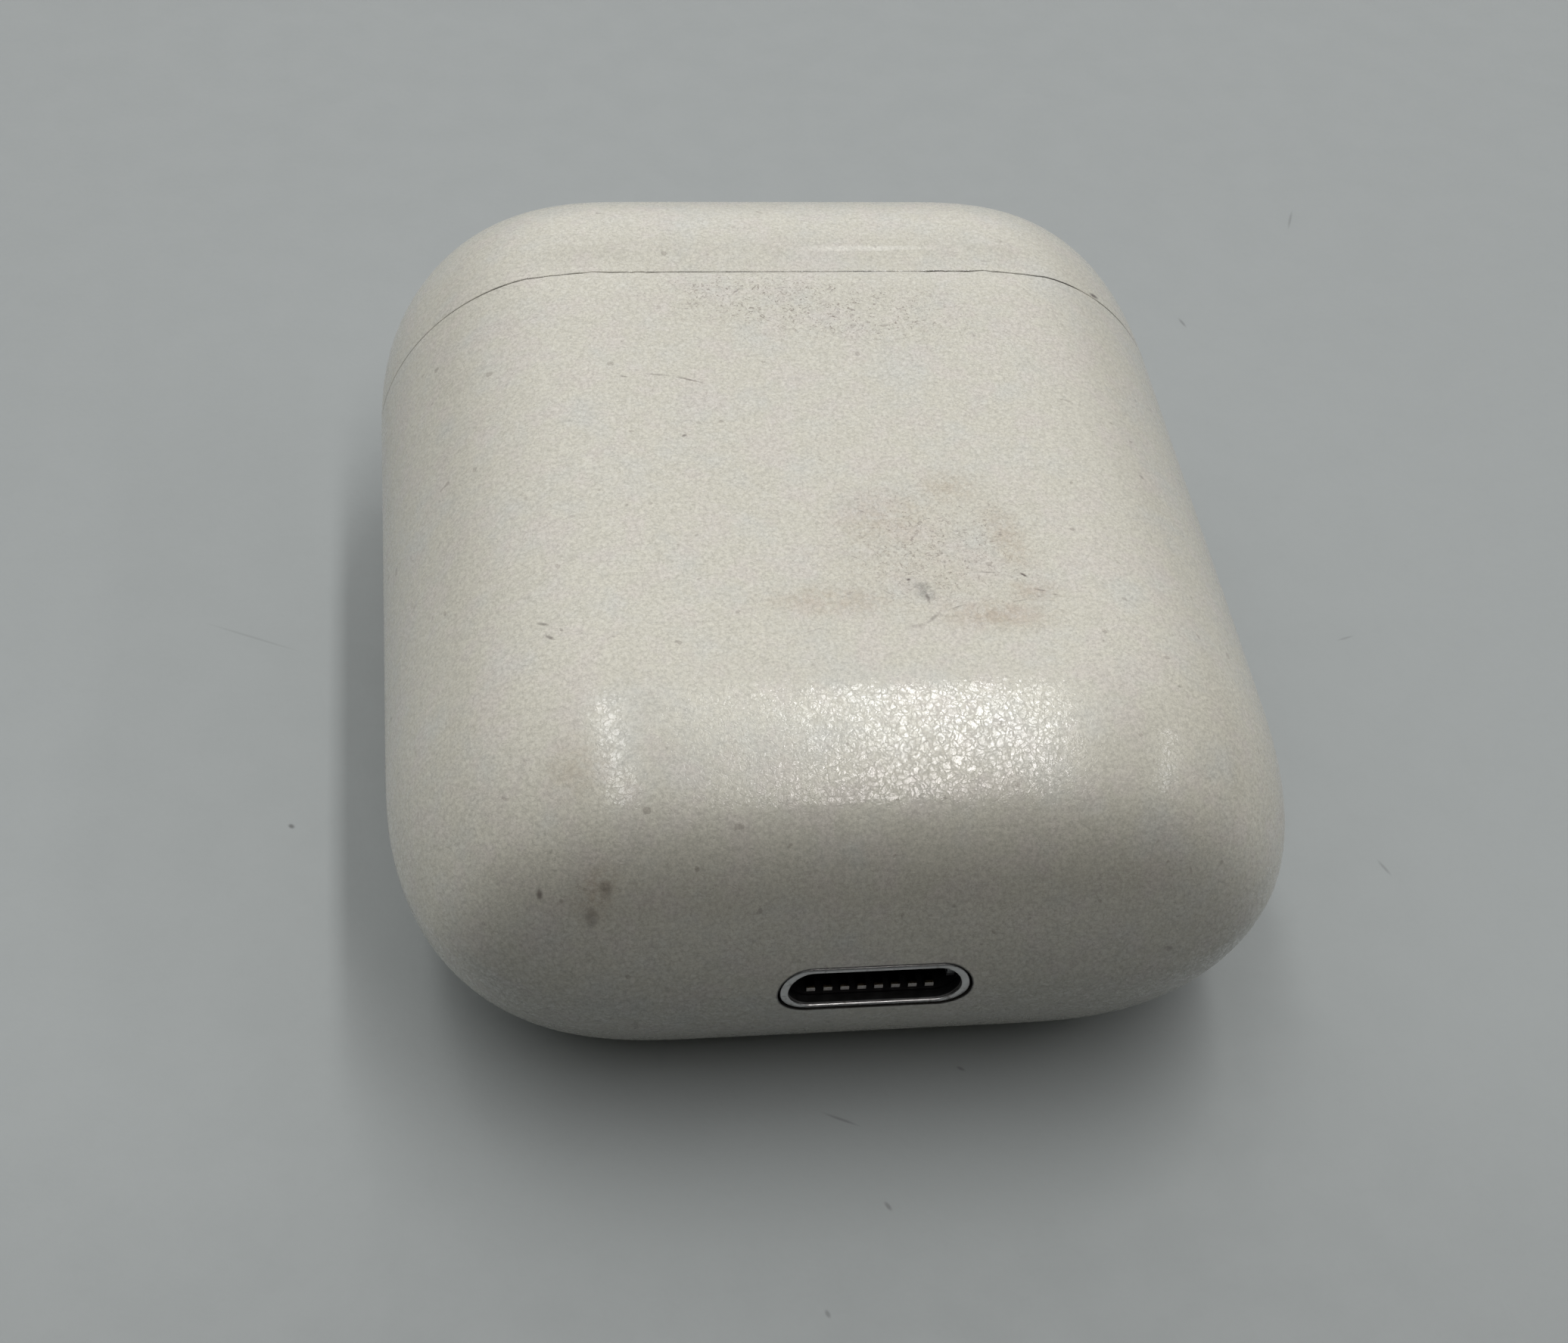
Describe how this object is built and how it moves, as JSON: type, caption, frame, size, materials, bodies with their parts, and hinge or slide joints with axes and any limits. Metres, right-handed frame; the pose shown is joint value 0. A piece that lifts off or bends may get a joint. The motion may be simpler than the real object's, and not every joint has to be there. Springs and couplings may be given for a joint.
{
  "type": "wireless earbuds case",
  "caption": "Pebble-shaped white charging case for wireless earbuds, lying on its back, with a hinged lid, moulded wells and a charging port in its end.",
  "frame": {"origin": "on the flat back face, under the middle of the case", "axes": "+X across the case, +Y from the charging port end to the lid end, +Z from the back face out through the front face"},
  "size_m": [0.0444, 0.0536, 0.0213],
  "materials": {
    "white_gloss_plastic": "glossy, covered in fine scuffs and hair scratches",
    "white_satin_plastic": "satin moulding",
    "brushed_steel": "fine brushed",
    "port_trim": "satin grey metal",
    "black_plastic": "moulded",
    "gold_contacts": "gold plated",
    "magnets": "nickel plated",
    "circuit_board": "solder mask",
    "flex_circuit": "polyimide film",
    "battery_wrap": "wrapped cell",
    "light_lens": "clear to milky light pipe"
  },
  "bodies": {
    "case": {"body_shell": "white_gloss_plastic", "cradle": "white_satin_plastic", "hinge_plate": "brushed_steel", "hinge_pin": "brushed_steel", "detent_spring": "brushed_steel", "switch_dome": "brushed_steel", "port_latch_left": "brushed_steel", "port_latch_right": "brushed_steel", "port_trim_ring": "port_trim", "port_housing": "black_plastic", "left_contact_block": "black_plastic", "right_contact_block": "black_plastic", "charger_chip": "black_plastic", "controller_chip": "black_plastic", "power_chip": "black_plastic", "port_chip": "black_plastic", "lid_sensor": "black_plastic", "body_catch_magnet": "magnets", "left_well_magnet": "magnets", "right_well_magnet": "magnets", "main_board": "circuit_board", "light_board": "circuit_board", "battery_lead": "flex_circuit", "light_flex": "flex_circuit", "contact_flex": "flex_circuit", "port_flex": "flex_circuit", "battery": "battery_wrap", "status_light_lens": "light_lens", "status_led": "light_lens", "port_contact_1": "gold_contacts", "port_contact_2": "gold_contacts", "port_contact_3": "gold_contacts", "port_contact_4": "gold_contacts", "port_contact_5": "gold_contacts", "port_contact_6": "gold_contacts", "port_contact_7": "gold_contacts", "port_contact_8": "gold_contacts"},
    "lid": {"lid_shell": "white_gloss_plastic", "lid_liner": "white_satin_plastic", "lid_hinge_leaf": "brushed_steel", "lid_catch_magnet": "magnets", "lid_sensor_magnet": "magnets"},
    "setup_button": {"setup_button": "white_gloss_plastic"},
    "left_inner_pin": {"left_inner_contact_pin": "gold_contacts"},
    "left_outer_pin": {"left_outer_contact_pin": "gold_contacts"},
    "right_inner_pin": {"right_inner_contact_pin": "gold_contacts"},
    "right_outer_pin": {"right_outer_contact_pin": "gold_contacts"}
  },
  "joints": [
    {"name": "lid_hinge", "type": "hinge", "parent": "case", "child": "lid", "pos_m": [0, 0.0135, 0.0005], "axis": [-1, 0, 0], "range_deg": [0, 100]},
    {"name": "setup_button_press", "type": "slide", "parent": "case", "child": "setup_button", "axis": [0, 0, 1], "range_m": [0, 0.0003], "stiffness_N_per_m": 3000, "springref_m": -0.0001},
    {"name": "left_inner_pin_press", "type": "slide", "parent": "case", "child": "left_inner_pin", "axis": [0, -1, 0], "range_m": [0, 0.0005], "stiffness_N_per_m": 1000, "springref_m": -0.0002},
    {"name": "left_outer_pin_press", "type": "slide", "parent": "case", "child": "left_outer_pin", "axis": [0, -1, 0], "range_m": [0, 0.0005], "stiffness_N_per_m": 1000, "springref_m": -0.0002},
    {"name": "right_inner_pin_press", "type": "slide", "parent": "case", "child": "right_inner_pin", "axis": [0, -1, 0], "range_m": [0, 0.0005], "stiffness_N_per_m": 1000, "springref_m": -0.0002},
    {"name": "right_outer_pin_press", "type": "slide", "parent": "case", "child": "right_outer_pin", "axis": [0, -1, 0], "range_m": [0, 0.0005], "stiffness_N_per_m": 1000, "springref_m": -0.0002}
  ]
}
